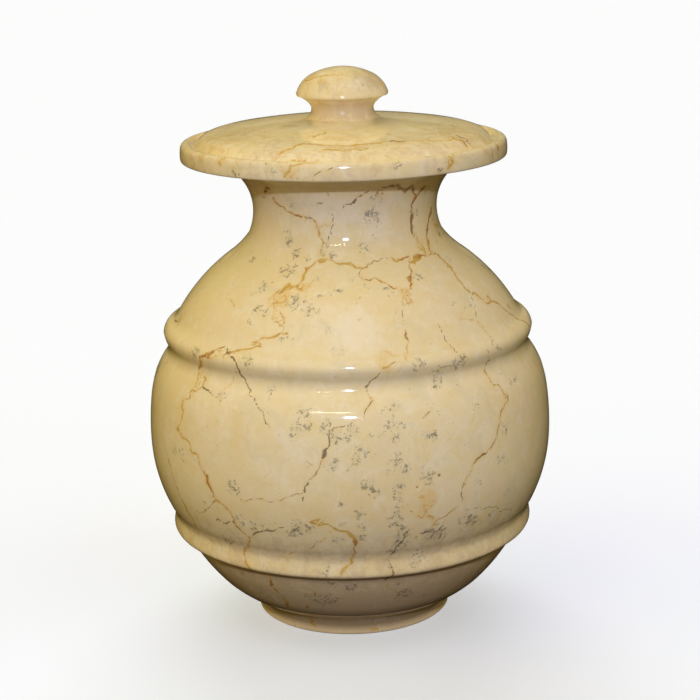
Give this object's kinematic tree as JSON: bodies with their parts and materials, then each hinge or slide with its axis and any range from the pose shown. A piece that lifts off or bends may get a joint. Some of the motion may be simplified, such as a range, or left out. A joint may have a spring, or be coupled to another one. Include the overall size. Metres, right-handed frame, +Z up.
{
  "type": "cremation urn",
  "caption": "Round marble cremation urn with a footed bowl, ridged belly, waisted neck and a loose domed lid with a mushroom knob.",
  "frame": {"origin": "centre of the foot's underside, where the urn stands", "axes": "+Z up along the urn's turning axis, towards the lid's knob; -Y towards the side that the picture shows"},
  "size_m": [0.2108, 0.2108, 0.288],
  "materials": {
    "marble": "polished cream marble with ochre and brown veins"
  },
  "bodies": {
    "root": {"urn_body": "marble", "lid": "marble"}
  },
  "joints": []
}
